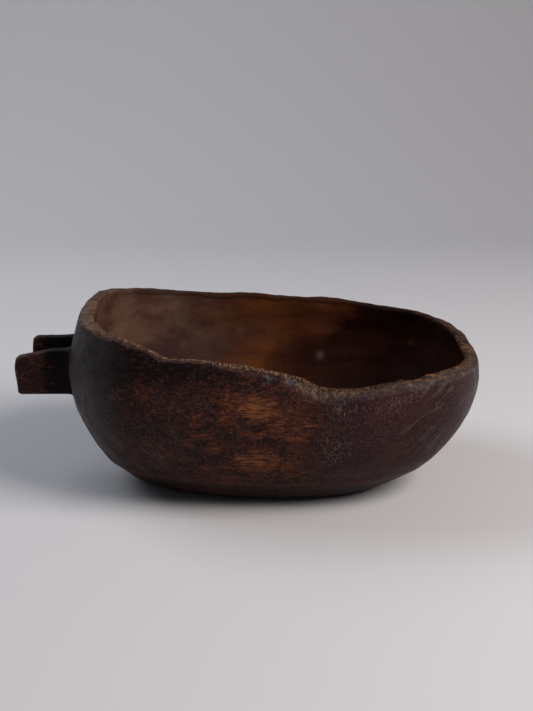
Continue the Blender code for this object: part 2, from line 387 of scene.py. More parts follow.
def bowl_grid():
    """Rows of points from the middle of the foot, up the outside, over the rim and down the inside."""
    turn = np.arange(COLUMNS) / COLUMNS * 2 * np.pi
    crown = rim_crown(turn)
    at_crown = wall_points(turn, crown, 1.0)
    world_x = at_crown[:, 0] + BODY_X
    near = blend(-at_crown[:, 1], 0.02, 0.06)
    place = at_crown * (1, 1, 0)

    # The worn face slopes outward most in the hollow, and less at the rest of the rim
    slope = 0
    for x, reach, drop in RIM_SLOPES:
        slope = slope + drop * near * np.exp(-((world_x - x) / reach) ** 2)
    slope = slope + 0.0009 * (1 + swells(place, 0.022, 21))
    near_left = near * blend(-world_x, -0.030, 0.0)
    outer_round = 0.0026 - 0.0012 * near_left + (0.0009 - 0.0003 * near_left) * swells(place, 0.013, 22)
    inner_round = 0.0032 + 0.0010 * swells(place, 0.016, 23)

    rows, rim_depth, inside = [], [], []

    def add_row(points, depth, within):
        rows.append(points)
        rim_depth.append(np.broadcast_to(depth, turn.shape))
        inside.append(np.full_like(turn, within))

    foot_edge = wall_points(turn, 0 * turn, 0.0)
    foot_middle = np.array((FOOT_CENTRE_X, 0, 0))
    for ring in range(1, FOOT_ROWS):
        add_row(foot_middle + (foot_edge - foot_middle) * ring / FOOT_ROWS, 0.1, 0)
    wall = []
    for ring in range(WALL_ROWS + 1):
        angle = math.radians(90) * ring / WALL_ROWS
        height = WAIST_HEIGHT * (1 - math.cos(angle) ** (2 / WALL_POWER))
        wall.append(wall_points(turn, height + 0 * turn, math.sin(angle) ** (2 / WALL_POWER)))
        add_row(wall[-1], crown - height, 0)
    outer_edge = crown - slope - outer_round
    for ring in range(1, LEAN_ROWS):
        height = WAIST_HEIGHT + (outer_edge - WAIST_HEIGHT) * ring / LEAN_ROWS
        add_row(wall_points(turn, height, 1.0), outer_edge - height, 0)
    for ring in range(RIM_ROWS + 1):
        share = (1 - math.cos(math.pi * ring / RIM_ROWS)) / 2
        from_outside = np.clip(1 - share * RIM_THICKNESS / outer_round, 0, 1)
        from_inside = np.clip(1 - (1 - share) * RIM_THICKNESS / inner_round, 0, 1)
        drop = slope * (1 - share) + outer_round * (1 - np.sqrt(1 - from_outside ** 2))
        drop = drop + inner_round * (1 - np.sqrt(1 - from_inside ** 2))
        fray = near_left * blend(share, 0.02, 0.3) * (1 - blend(share, 0.3, 0.7))
        height = crown - drop + 0.0005 * fray * swells(place, 0.0042, 24)
        inset = share * RIM_THICKNESS * inward_direction(turn, height)
        add_row(wall_points(turn, height, 1.0) + inset, 0, share)
    inner_edge = crown - inner_round
    for ring in range(1, INNER_LEAN_ROWS):
        height = inner_edge + (WAIST_HEIGHT - inner_edge) * ring / INNER_LEAN_ROWS
        inset = RIM_THICKNESS * inward_direction(turn, height)
        add_row(wall_points(turn, height, 1.0) + inset, inner_edge - height, 1)

    # Below the waist the inside follows the outside at the thickness of the wall
    foot_rows = [foot_middle + (foot_edge - foot_middle) * share for share in np.linspace(0.02, 0.98, 25)]
    shell = np.array(foot_rows + wall)
    rise = np.clip(shell[..., 2:] / WAIST_HEIGHT, 0, 1)
    normals = grid_normals(shell)
    normals[-1] = -inward_direction(turn, WAIST_HEIGHT + 0 * turn)
    inner = shell - normals * (FLOOR_THICKNESS + (RIM_THICKNESS - FLOOR_THICKNESS) * rise)
    length = np.linalg.norm(np.diff(inner, axis=0), axis=-1).mean(1)
    run = np.concatenate([[0], np.cumsum(length)])
    total = INNER_WALL_ROWS + FLOOR_ROWS
    for ring in range(total):
        want = run[-1] * (1 - ring / total)
        upper = min(int(np.searchsorted(run, want)), len(run) - 1)
        lower = max(upper - 1, 0)
        share = (want - run[lower]) / max(run[upper] - run[lower], 1e-9)
        points = inner[lower] * (1 - share) + inner[upper] * share
        add_row(points, crown - points[:, 2], 1)
    return np.array(rows), np.array(rim_depth), np.array(inside)


def carve(grid, depth, inside):
    """Shift the smooth form by hand-tool marks and wear, along its own normals."""
    normals = grid_normals(grid)
    x = grid[..., 0] + BODY_X
    y = grid[..., 1]
    z = grid[..., 2]
    outside = 1 - inside
    end_wall = blend(np.abs(normals[..., 0]), 0.55, 0.85)
    above_foot = blend(z, 0.0005, 0.008)

    slow = 0.55 * swells(grid, (0.060, 0.050, 0.040), 31) + 0.45 * swells(grid, 0.027, 32)
    paring = scallops(grid, (0.020, 0.020, 0.013), 41)
    end_cuts = scallops(grid + 0.3 * z[..., None] * np.array((0, 1, 0)), (0.02, 0.0095, 0.030), 51)
    fine = swells(grid, (0.012, 0.006, 0.006), 33)
    outer = OUTER_UNEVEN * slow + 0.00018 * fine
    end_depth = END_CUT_DEPTH + BACK_CUT_EXTRA * blend(-x, 0.0, 0.05)
    outer = outer + (1 - end_wall) * PARING_DEPTH * (paring - CUT_MIDDLE)
    outer = outer + end_wall * end_depth * (end_cuts - CUT_MIDDLE)

    # A ridge above the foot, with a shallow groove under it
    ridge_height = 0.0205 + 0.0022 * swells(grid * (1, 1, 0), 0.035, 36)
    ridge = np.exp(-((z - ridge_height) / 0.0026) ** 2)
    ridge = ridge - 0.8 * np.exp(-((z - ridge_height + 0.007) / 0.005) ** 2)
    outer = outer + RIDGE_HEIGHT * ridge * blend(-normals[..., 1], 0.1, 0.5)

    gouges = scallops(grid, (0.026, 0.017, 0.017), 61, sharpness=20)
    inner = INNER_UNEVEN * slow + GOUGE_DEPTH * (gouges - CUT_MIDDLE) + 0.00015 * fine

    # The rim's face is frayed, most of all where it is thin on the near side towards the prongs
    on_rim = (depth <= 0).astype(float)
    rim_noise = 0.00022 * swells(grid, (0.009, 0.0050, 0.0050), 34) + 0.00010 * swells(grid, 0.0030, 35)
    rim_fade = np.clip(1 - depth / 0.006, 0, 1)
    splintered = blend(-y, 0.03, 0.06) * blend(-x, -0.04, -0.01) * blend(x, -0.11, -0.09)
    rim_noise = rim_noise + 0.00022 * splintered * swells(grid, (0.0024, 0.0020, 0.0020), 37)
    shift = above_foot * outside * outer + inside * inner
    shift = shift * (1 - 0.55 * on_rim) + rim_noise * rim_fade

    # Slanting knife strokes low on the near side, towards the prongs
    slant = np.stack([x + 0.9 * z, y * 0, z - 0.9 * x], -1)
    low_left = blend(-x, 0.02, 0.07) * blend(-z, -0.075, -0.045) * blend(-normals[..., 1], -0.1, 0.4)
    low_left = low_left * outside * above_foot
    knife_cuts = scallops(slant, (0.009, 0.05, 0.036), 57, sharpness=18)
    shift = shift + KNIFE_DEPTH * low_left * (knife_cuts - CUT_MIDDLE)

    # Chips knocked off the near rim
    near = blend(-y, 0.05, 0.08) * outside
    for *mark, deep in CHIPS:
        shift = shift - deep * near * np.exp(-spread(x, z, *mark) ** 1.5)
    return grid + normals * shift[..., None], normals


def close_grid(name, grid, attributes):
    """A closed mesh from rows of points, with the first and the last row each drawn to one middle point."""
    rows, columns = grid.shape[:2]
    points = grid.reshape(-1, 3)
    first = grid[0].mean(0)
    last = grid[-1].mean(0)
    corner = np.arange(rows * columns).reshape(rows, columns)
    beside = np.roll(corner, -1, axis=1)
    quads = np.stack([corner[:-1], beside[:-1], beside[1:], corner[1:]], -1).reshape(-1, 4)
    start = rows * columns
    lids = [(start, int(b), int(a)) for a, b in zip(corner[0], beside[0])]
    lids += [(start + 1, int(a), int(b)) for a, b in zip(corner[-1], beside[-1])]
    mesh = bpy.data.meshes.new(name)
    mesh.from_pydata(np.vstack([points, first, last]).tolist(), [], quads.tolist() + lids)
    for key, values in attributes.items():
        layer = mesh.attributes.new(key, 'FLOAT', 'POINT')
        flat = np.concatenate([values.reshape(-1), [values[0].mean(), values[-1].mean()]])
        layer.data.foreach_set("value", flat.astype(np.float32))
    mesh.validate()
    mesh.shade_smooth()
    piece = bpy.data.objects.new(name, mesh)
    bpy.context.scene.collection.objects.link(piece)
    return piece


def fit_to(grid, box):
    """Stretch a grid by a hair so that it fills the box of the CAD node it stands for."""
    low, high = (np.array(corner) for corner in box)
    own_low, own_high = grid.reshape(-1, 3).min(0), grid.reshape(-1, 3).max(0)
    return low + (grid - own_low) * (high - low) / (own_high - own_low)


def root_shadow(grid):
    """1 on the back wall round the prongs' roots, and fading away from them."""
    x, y, z = grid[..., 0], grid[..., 1], grid[..., 2]
    rooted = np.zeros_like(x)
    for node in ("near_prong", "far_prong"):
        low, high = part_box(node)
        beyond_y = np.maximum(np.abs(y - (low.y + high.y) / 2) - (high.y - low.y) / 2, 0)
        beyond_z = np.maximum(np.abs(z - (low.z + high.z) / 2) - (high.z - low.z) / 2, 0)
        rooted = np.maximum(rooted, np.exp(-(beyond_y ** 2 + beyond_z ** 2) / 0.0085 ** 2))
    return rooted * blend(-x, 0.08, 0.10)


def wear_masks(grid, normals, depth, inside):
    """Where the wood is worn, sooty or marked, and where shade, sheen and highlights are painted, as
    numbers at each point of the bowl, mostly from 0 to 1.
    """
    x, y, z = grid[..., 0], grid[..., 1], grid[..., 2]
    level = grid * (1, 1, 0)
    outside = 1 - blend(inside, 0.4, 0.6)
    near = blend(-normals[..., 1], 0.2, 0.55) * outside
    on_near = blend(-y, 0.02, 0.06)
    on_far = blend(y, 0.02, 0.06)
    on_top = depth <= 0
    rooted = root_shadow(grid) * outside

    # Bare wood: listed patches on the near side, random ones elsewhere, and a line above the foot
    patch = np.zeros_like(x)
    for cx, cz, wide, tall, strength in NEAR_PATCHES:
        fade = 0.8 * ((x - cx) / wide) ** 2 + 0.8 * ((z - cz) / tall) ** 2
        patch = np.maximum(patch, strength * np.exp(-fade))
    elsewhere = blend(swells(grid, (0.055, 0.055, 0.032), 71), 0.05, 0.75)
    elsewhere = elsewhere * 0.8 * outside * blend(z, 0.010, 0.025)
    bare = near * patch + (1 - near) * elsewhere * blend(1 - np.abs(normals[..., 0]), 0.25, 0.6)
    above_line = z - FOOT_LINE - 0.0010 * swells(level, 0.012, 75)
    foot_line = near * blend(x, -0.045, -0.015) * np.exp(-(above_line / 0.0011) ** 2)
    bare = bare * (1 - 0.55 * (1 - blend(z, 0.0125, 0.0205)) * outside) + 0.32 * foot_line

    # The worn rim: strongest at the back end and at the lip, thin and splintered on the near left
    around = swells(level, 0.030, 72)
    dip = on_near * np.exp(-((x - 0.047) / 0.026) ** 4)
    lip = blend(x, 0.115, 0.150)
    back = blend(-x, 0.085, 0.115)
    thin_edge = on_near * blend(x, -0.098, -0.084) * blend(-x, -0.037, -0.026)
    strength = 0.30 + 0.16 * around + 0.12 * on_near + 0.36 * back + 0.22 * lip
    strength = strength + 0.12 * on_near * blend(x, 0.03, 0.06)
    strength = strength - 0.40 * on_far * (1 - back) * (1 - lip)
    face = blend(inside, 0.02 + 0.26 * thin_edge, 0.16 + 0.30 * thin_edge) * (1 - blend(inside, 0.90, 1.0))
    face = face * (1 + 0.5 * thin_edge)
    face = np.maximum(face, 0.45 * (1 - thin_edge) * (1 - blend(inside, 0.5, 0.9)))
    below = np.clip(1 - depth / (0.0009 + 0.0006 * around + 0.0016 * lip + 0.0010 * back), 0, 1) * outside
    below = 0.55 * below * (1 - thin_edge) * (1 - 0.5 * blend(x, 0.02, 0.05))
    arris = on_top * np.exp(-((inside - 0.86) / 0.07) ** 2) * on_near
    rim = np.clip(strength, 0, 1) * np.where(on_top, face, below)
    rim = rim + 0.10 * dip * on_top * (1 - blend(inside, 0.8, 1))
    rim = rim + 0.30 * arris

    # Soot and shade: darker wood on the near rim towards the prongs, on the far rim and at the foot, and
    # painted shade on the wall round the prongs' roots
    far_rim = on_far * blend(x, -0.10, -0.07) * (1 - 0.6 * lip) * (depth < 0.0012)
    left_rim = 0.85 * near * blend(-x, -0.020, 0.02) * blend(z, 0.086, 0.100)
    left_rim = left_rim + 0.30 * near * blend(-x, 0.03, 0.09)
    soot_and_shade = np.maximum(left_rim, 0.8 * far_rim) + 0.30 * near * (1 - blend(z, 0.011, 0.019))

    # Marks: pale spots inside, chips, scratches, slanting knife strokes, and gloss under the rim with a
    # glint, which also give a painted highlight
    pale_spots = 0
    for cx, cz, radius, much in PALE_SPOTS:
        pale_spots = pale_spots + much * np.exp(-((x - cx) ** 2 + (z - cz) ** 2) / radius ** 2)
    chips = sum(np.exp(-spread(x, z, *mark) ** 2) for *mark, _ in CHIPS)
    scratched = np.zeros_like(x)
    for *mark, much in SCRATCHED:
        scratched = np.maximum(scratched, much * np.exp(-spread(x, z, *mark)))
    scratched = near * scratched + (1 - near) * outside * blend(swells(grid, 0.03, 73), 0.45, 0.9)
    scratched = scratched * (1 - rooted)
    everywhere = (0.06 + 0.22 * near * blend(x, 0.03, 0.07) * blend(z, 0.03, 0.06)) * outside
    falling = near * blend(-x, 0.025, 0.065) * (1 - blend(z, 0.050, 0.078))
    rising = near * blend(x, 0.085, 0.125) * blend(z, 0.030, 0.045)
    # Gloss along the near rim's outer edge, with a glint on it: smoother and shinier there, and a painted
    # highlight in the colour
    gloss_and_painted_highlight = on_near * outside * blend(x, 0.015, 0.035) * np.exp(-((depth - 0.0006) / 0.0008) ** 2)
    glint = near * np.exp(-((x - 0.0405) / 0.0050) ** 2 - ((depth - 0.0022) / 0.0009) ** 2)
    end = np.maximum(blend(-normals[..., 0], 0.36, 0.80), 0.7 * blend(normals[..., 0], 0.55, 0.90))
    return {
        "bare": bare,
        "rim": np.clip(rim, 0, 1),
        "inside": blend(inside, 0.3, 0.8),
        # The painted shade round the prongs' roots joins the soot here
        "soot_and_shade": np.maximum(np.clip(soot_and_shade, 0, 1), ROOT_PAINTED_SHADE * rooted),
        "chip": chips * near,
        "end": end * outside * (1 - rooted),
        "scratched": np.clip(scratched + everywhere, 0, 1),
        "pale_spots": pale_spots * on_far * blend(inside, 0.6, 1.0),
        "gloss_and_painted_highlight": gloss_and_painted_highlight + 1.5 * glint,
        "slanted": falling - rising,
    }


def carved_bowl():
    """The bowl with its tool marks, in the box of the CAD bowl."""
    grid, depth, inside = bowl_grid()
    carved, normals = carve(grid, depth, inside)
    carved = fit_to(carved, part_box("hewn_bowl"))
    masks = wear_masks(carved, normals, depth, inside)
    return close_grid("carved_bowl", carved, masks)


# ---------------------------------------------------------------- the prongs

def carved_prong(name, node, bowl_tree, worn_drop, tip_wear_and_light, seed):
    """One handle stub: a thick board on edge, worn at its tip and flared where it grows from the wall."""
    low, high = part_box(node)
    half_y = (high.y - low.y) / 2
    half_z = (high.z - low.z) / 2
    middle_y = (high.y + low.y) / 2
    middle_z = (high.z + low.z) / 2
    turn = np.arange(PRONG_COLUMNS) / PRONG_COLUMNS * 2 * np.pi
    ring_y, ring_z = superellipse(turn, PRONG_POWER)

    def wall_x(y, z):
        hit = bowl_tree.ray_cast(Vector((RAY_START_X, y, z)), Vector((1, 0, 0)))[0]
        return hit.x if hit else BACK_WALL_X

    roots = np.array([wall_x(middle_y + half_y * a, middle_z + half_z * b) for a, b in zip(ring_y, ring_z)])
    rows = []
    for share in np.linspace(0.04, 1, TIP_STATIONS):
        angle = share * math.pi / 2
        inset = TIP_ROUND * (1 - math.sin(angle))
        narrow = min(1, 0.12 + 1.6 * share)
        x = np.full(PRONG_COLUMNS, low.x) + TIP_ROUND * (1 - math.cos(angle)) * TIP_REACH
        y = middle_y + ring_y * (half_y - inset) * narrow
        z = middle_z + ring_z * (half_z - inset) * narrow
        rows.append(np.stack([x, y, z], -1))
    start = low.x + TIP_ROUND * TIP_REACH
    for share in (1 - np.cos(np.linspace(0, np.pi, RUN_STATIONS)[1:])) / 2:
        x = start + (roots + ROOT_SINK - start) * share
        distance = np.clip((roots - x) / ROOT_FLARE, 0, 1)
        grow = ROOT_FLARE * 0.75 * (1 - np.sqrt(1 - (1 - distance) ** 2))
        y = middle_y + ring_y * half_y + np.cos(turn) * grow
        z = middle_z + ring_z * half_z + np.sin(turn) * grow
        rows.append(np.stack([x, y, z], -1))
    grid = np.array(rows)

    # The top edge is worn down towards the tip
    x, y, z = grid[..., 0], grid[..., 1], grid[..., 2]
    worn = np.clip(1 - (x - low.x) / WORN_TOP_REACH, 0, 1)
    top = blend(z, middle_z - half_z * 0.2, middle_z + half_z)
    grid[..., 2] = z - worn_drop * worn * top

    # Tool marks, which fade out at the root
    inward = -grid_normals(grid)
    shift = 0.00045 * swells(grid, (0.02, 0.012, 0.014), seed)
    shift = shift + 0.0004 * (scallops(grid, (0.016, 0.012, 0.010), seed + 5) - CUT_MIDDLE)
    shift = shift + 0.00012 * swells(grid, 0.004, seed + 9)
    keep = blend(-(x - roots), 0.0, 0.004)
    grid = grid + inward * (shift * keep)[..., None]

    # Fill the box of the CAD prong, measured where the prong is clear of its flare
    grid[..., 0] += low.x - grid[..., 0].min()
    for axis, lower, upper in ((1, low.y, high.y), (2, low.z, high.z)):
        free = grid[x < roots - ROOT_FLARE][:, axis]
        span = free.max() - free.min()
        grid[..., axis] = lower + (grid[..., axis] - free.min()) * (upper - lower) / span

    tip = np.clip(1 - (x - low.x) / WORN_TIP_REACH, 0, 1)
    masks = {key: 0 * x for key in MASKS}
    masks["bare"] = tip_wear_and_light * (0.16 + 0.50 * blend(z, middle_z - half_z, middle_z + half_z)) * tip
    # Painted shade: darker towards the root, where the wall shades the prong, and darker all over on the
    # far prong, whose near face lies in shade
    masks["soot_and_shade"] = 0.10 + 1.6 * (1 - tip_wear_and_light) + 2.9 * blend(x, low.x + 0.017, low.x + 0.033)
    masks["scratched"] = 0.1 + 0 * x

    # Known fault: with its columns reversed like this, the faces of the mesh point inwards
    return close_grid(name, grid[:, ::-1], {key: value[:, ::-1] for key, value in masks.items()})


# ---------------------------------------------------------------- material

class Graph:
    """Short calls for building a material's node tree."""

    def __init__(self, name):
        self.material = bpy.data.materials.new(name)
        self.material.use_nodes = True
        self.tree = self.material.node_tree
        self.shader = self.tree.nodes["Principled BSDF"]

    def put(self, socket, value):
        """Link a socket to another node's output, or set its value."""
        if isinstance(value, bpy.types.NodeSocket):
            self.tree.links.new(value, socket)
        else:
            socket.default_value = value

    def node(self, kind, inputs=(), out=0, **settings):
        """Add a node with its inputs and settings, and give back one of its outputs."""
        node = self.tree.nodes.new(kind)
        for key, value in settings.items():
            setattr(node, key, value)
        for key, value in dict(inputs).items():
            self.put(node.inputs[key], value)
        return node.outputs[out]

    def math(self, operation, a, b=0.0):
        return self.node('ShaderNodeMath', {0: a, 1: b}, operation=operation)

    def times(self, *factors):
        result = factors[0]
        for factor in factors[1:]:
            result = self.math('MULTIPLY', result, factor)
        return result

    def plus(self, *terms):
        result = terms[0]
        for term in terms[1:]:
            result = self.math('ADD', result, term)
        return result

    def around_zero(self, noise, much):
        """Noise from 0 to 1, moved to lie around 0 and scaled."""
        return self.times(self.plus(noise, -0.5), much)

    def ramp(self, value, low, high, bottom=0.0, top=1.0):
        """A smooth step from bottom at low to top at high."""
        inputs = {0: value, 1: low, 2: high, 3: bottom, 4: top}
        return self.node('ShaderNodeMapRange', inputs, interpolation_type='SMOOTHSTEP', clamp=True)

    def mix(self, factor, a, b):
        """Colour a where the factor is 0 and colour b where it is 1."""
        node = self.tree.nodes.new('ShaderNodeMix')
        node.data_type = 'RGBA'
        self.put(node.inputs[0], factor)
        self.put(node.inputs[6], (*a, 1) if isinstance(a, tuple) else a)
        self.put(node.inputs[7], (*b, 1) if isinstance(b, tuple) else b)
        return node.outputs[2]

    def layers(self, base, *coats):
        """Coats of colour over a base, each given with how much of it covers what is below."""
        for cover, colour in coats:
            base = self.mix(cover, base, colour)
        return base

    def stretched(self, coordinates, scale, offset=(0, 0, 0)):
        scaled = self.node('ShaderNodeVectorMath', {0: coordinates, 1: scale}, operation='MULTIPLY')
        return self.node('ShaderNodeVectorMath', {0: scaled, 1: offset}, operation='ADD')

    def noise(self, coordinates, scale, detail=4.0, roughness=0.55, offset=(0, 0, 0), distortion=0.0):
        """Noise from 0 to 1. The scale is in cycles per metre, one number or one for each axis."""
        scale = (scale, scale, scale) if isinstance(scale, (int, float)) else scale
        inputs = {'Vector': self.stretched(coordinates, scale, offset), 'Scale': 1.0, 'Detail': detail,
                  'Roughness': roughness, 'Distortion': distortion}
        return self.node('ShaderNodeTexNoise', inputs)

    def cells(self, coordinates, scale, offset=(0, 0, 0)):
        """Distance to the nearest of many scattered points, in cells."""
        inputs = {'Vector': self.stretched(coordinates, scale, offset), 'Scale': 1.0}
        return self.node('ShaderNodeTexVoronoi', inputs)

    def attribute(self, name):
        """A number kept at each point of the mesh."""
        return self.node('ShaderNodeAttribute', out=2, attribute_name=name)


def strokes(g, at, scale, length, width, offset):
    """Short straight scratches, at most one in each cell and each turned at random in the upright plane."""
    placed = g.stretched(at, (scale, scale, scale), offset)
    cell = g.tree.nodes.new('ShaderNodeTexVoronoi')
    g.put(cell.inputs['Vector'], placed)
    cell.inputs['Scale'].default_value = 1.0
    away = g.node('ShaderNodeVectorMath', {0: placed, 1: cell.outputs['Position']}, operation='SUBTRACT')
    chance = g.tree.nodes.new('ShaderNodeSeparateColor')
    g.put(chance.inputs[0], cell.outputs['Color'])
    angle = g.times(chance.outputs[0], 2 * math.pi)
    turned = g.node('ShaderNodeVectorRotate', {'Vector': away, 'Angle': angle}, rotation_type='Y_AXIS')
    parts = g.tree.nodes.new('ShaderNodeSeparateXYZ')
    g.put(parts.inputs[0], turned)
    off = g.math('ABSOLUTE', parts.outputs[2])
    run = g.math('ABSOLUTE', parts.outputs[0])
    line = g.ramp(off, width * scale, width * scale * 0.3)
    return g.times(line, g.ramp(run, length * scale, length * scale * 0.5), chance.outputs[1])


def old_wood(name):
    """Dark, waxed and smoked wood, worn to red-brown and tan where hands and grain rubbed it."""
    g = Graph(name)
    at = g.node('ShaderNodeTexCoord', out=3)
    bare, rim, inside, soot_and_shade, chip, end, scratched, pale_spots, gloss_and_painted_highlight, slanted = map(g.attribute, MASKS)
    x = g.node('ShaderNodeSeparateXYZ', {0: at})
    z = g.node('ShaderNodeSeparateXYZ', {0: at}, out=2)

    # The grain runs along X and wanders a little
    swirl = {'Vector': g.stretched(at, (14, 22, 22)), 'Scale': 1.0, 'Detail': 2.0}
    warp = g.node('ShaderNodeTexNoise', swirl, out=1)
    warp = g.node('ShaderNodeVectorMath', {0: warp, 1: (0.5, 0.5, 0.5)}, operation='SUBTRACT')
    warp = g.node('ShaderNodeVectorMath', {0: warp, 1: (0.02, 0.008, 0.008)}, operation='MULTIPLY')
    grain_at = g.node('ShaderNodeVectorMath', {0: at, 1: warp}, operation='ADD')
    rings = g.noise(grain_at, (60, 800, 1150), 3.0, 0.6)
    fibres = g.noise(grain_at, (130, 1500, 1900), 4.0, 0.65, offset=(3, 1, 7))
    pores = g.noise(grain_at, (160, 1900, 1900), 2.0, 0.5, offset=(5, 9, 2))

    # Other fields, from broad to fine
    broad = g.noise(at, 24, 3.0, 0.55, offset=(1.3, 0.4, 2.2))
    tone = g.noise(at, 34, 2.0, 0.5, offset=(6, 6, 2))
    blotch = g.noise(at, (80, 100, 110), 5.0, 0.62, offset=(4, 2, 1), distortion=0.8)
    speckle = g.noise(at, (330, 420, 480), 7.0, 0.74, offset=(9, 4, 3), distortion=0.5)
    flecks = g.noise(at, (620, 800, 900), 4.0, 0.70, offset=(7, 2, 6))
    crumbs = g.noise(at, 1500, 3.0, 0.6, offset=(2, 8, 5))
    curl = g.noise(at, (170, 230, 240), 2.0, 0.5, offset=(8, 1, 4), distortion=3.2)
    curls = g.ramp(g.math('ABSOLUTE', g.plus(curl, -0.5)), 0.030, 0.004)
    chops = g.noise(at, (950, 950, 240), 3.0, 0.6, offset=(1, 4, 8), distortion=0.4)
    cuts = g.noise(at, (420, 420, 34), 4.0, 0.6, offset=(2, 6, 1), distortion=0.3)
    smooth = g.ramp(g.plus(x, g.around_zero(broad, 0.05)), 0.035, 0.065)

    def by_side(left, right):
        """One value on the mottled wood at the left and another on the smoother wood at the right."""
        return g.ramp(smooth, 0, 1, left, right)

    # Patina: near-black, purple-brown and red-brown
    dark = g.mix(g.ramp(tone, 0.40, 0.60), BLACK_RED, BLACK_PURPLE)
    light = g.mix(g.ramp(tone, 0.40, 0.60), BROWN_RED, BROWN_PURPLE)
    pale_flecks = g.ramp(flecks, by_side(0.56, 0.52), by_side(0.66, 0.60))
    patina = g.layers(
        g.mix(g.ramp(broad, 0.36, 0.64), dark, light),
        (g.times(g.ramp(blotch, 0.46, 0.64), by_side(1.0, 0.55)), MOTTLE_RED),
        (g.times(g.ramp(speckle, 0.52, 0.64), by_side(0.50, 0.16)), SPECKLE_BROWN),
        (g.times(curls, g.ramp(flecks, 0.40, 0.58), by_side(0.85, 0.12)), CURL_ORANGE),
        (g.times(pale_flecks, by_side(0.65, 0.75)), g.mix(smooth, FLECK_TAN, FLECK_PINK)),
        (g.times(g.ramp(speckle, 0.49, 0.39), 0.85), PIT_BLACK),
        (g.times(g.ramp(flecks, 0.45, 0.35), 0.70), FLECK_BLACK),
        (g.times(g.ramp(blotch, 0.43, 0.33), by_side(0.85, 0.45)), STAIN_PURPLE),
        (g.times(smooth, 0.30), SMOOTH_BROWN),
        # Soot, and painted shade round the prongs' roots and on the prongs towards their roots
        (g.times(soot_and_shade, g.ramp(speckle, 0.47, 0.62, 0.96, 0.30)), SOOT_AND_SHADE_BLACK),
        (g.times(g.ramp(x, 0.060, 0.150), 0.35), LIP_SHADE),
    )

    # A faint paler line above the foot, and greyer wood under it
    above_line = g.plus(z, -FOOT_LINE, g.around_zero(broad, 0.004))
    foot_line = g.times(g.ramp(g.math('ABSOLUTE', above_line), 0.0011, 0.0003), g.ramp(flecks, 0.40, 0.54))
    patina = g.layers(
        patina,
        (g.times(foot_line, 0.45), FOOT_LINE_PALE),
        (g.times(g.ramp(above_line, 0.0, -0.0030), 0.40), FOOT_GREY),
    )

    # Worn wood: red-brown, then orange-brown with its grain; and on the end walls a painted grey sheen,
    # streaked along the cuts
    lines = g.ramp(g.plus(g.times(rings, 0.6), g.times(fibres, 0.4)), 0.42, 0.56)
    uneven = g.plus(g.around_zero(blotch, 2.2), g.around_zero(speckle, 2.0), g.around_zero(broad, 0.8))
    thin = g.plus(bare, uneven, g.times(smooth, -0.12))
    bare_mask = g.ramp(g.plus(thin, g.around_zero(fibres, 1.4)), 0.70, 1.20)
    painted_end_sheen = g.mix(g.ramp(cuts, 0.42, 0.62), END_SHEEN_PAINTED_DARK, END_SHEEN_PAINTED_LIGHT)
    colour = g.layers(
        patina,
        (g.times(g.ramp(thin, 0.32, 0.82), 0.80), g.mix(lines, RED_WOOD_DARK, RED_WOOD_LIGHT)),
        (g.times(bare_mask, 0.75), g.mix(lines, BARE_WOOD_DARK, BARE_WOOD_LIGHT)),
        # The painted grey sheen on the end walls
        (g.times(end, g.ramp(g.plus(speckle, blotch), 0.85, 1.10, 0.85, 0.35)), painted_end_sheen),
    )

    # Slanting knife strokes: falling towards the lip low on the left, rising towards it at the right
    down = g.node('ShaderNodeCombineXYZ', {0: g.plus(x, z), 1: 0.0, 2: g.plus(z, g.times(x, -1.0))})
    up = g.node('ShaderNodeCombineXYZ', {0: g.plus(x, g.times(z, -1.0)), 1: 0.0, 2: g.plus(x, z)})
    falling = g.noise(down, (210, 1, 34), 4.0, 0.6, offset=(3, 5, 1), distortion=0.3)
    rising = g.noise(up, (190, 1, 26), 4.0, 0.6, offset=(8, 5, 2), distortion=0.3)
    falling = g.times(g.ramp(slanted, 0.0, 0.8), g.ramp(falling, 0.51, 0.62))
    rising = g.times(g.ramp(slanted, 0.0, -0.8), g.ramp(rising, 0.53, 0.64))
    knife = g.math('MAXIMUM', falling, rising)
    colour = g.mix(g.times(knife, g.ramp(speckle, 0.40, 0.56), 0.65), colour, KNIFE_GREY)

    # Inside: orange-brown bands along the grain; greyer at the back end, with a painted sheen; painted
    # shade at the lip, darker and redder
    band = g.noise(at, (9, 30, 75), 4.0, 0.6, offset=(7, 7, 7))
    cloud = g.noise(at, (30, 40, 55), 3.0, 0.6, offset=(1, 5, 3))
    # The painted shade at the lip reaches lower down towards the lip end
    deeper = g.times(g.ramp(z, 0.092, 0.058, 0.0, 0.050), g.ramp(x, -0.04, 0.08))
    along = g.plus(x, g.around_zero(broad, 0.10), deeper)
    # Greyer wood with a painted sheen at the back end
    back_wood_painted_sheen = g.mix(g.ramp(cloud, 0.36, 0.66), BACK_WOOD_PAINTED_SHEEN_DARK, BACK_WOOD_PAINTED_SHEEN_LIGHT)
    # Painted shade at the lip
    lip_wood_painted_shade = g.mix(g.ramp(cloud, 0.4, 0.62), LIP_WOOD_PAINTED_SHADE_DARK, LIP_WOOD_PAINTED_SHADE_LIGHT)
    floor_grain = g.ramp(g.plus(band, g.around_zero(speckle, 0.8)), 0.35, 0.65)
    floor_wood = g.mix(floor_grain, FLOOR_WOOD_DARK, FLOOR_WOOD_LIGHT)
    on_floor = g.ramp(g.plus(z, g.around_zero(cloud, 0.03)), 0.052, 0.024)
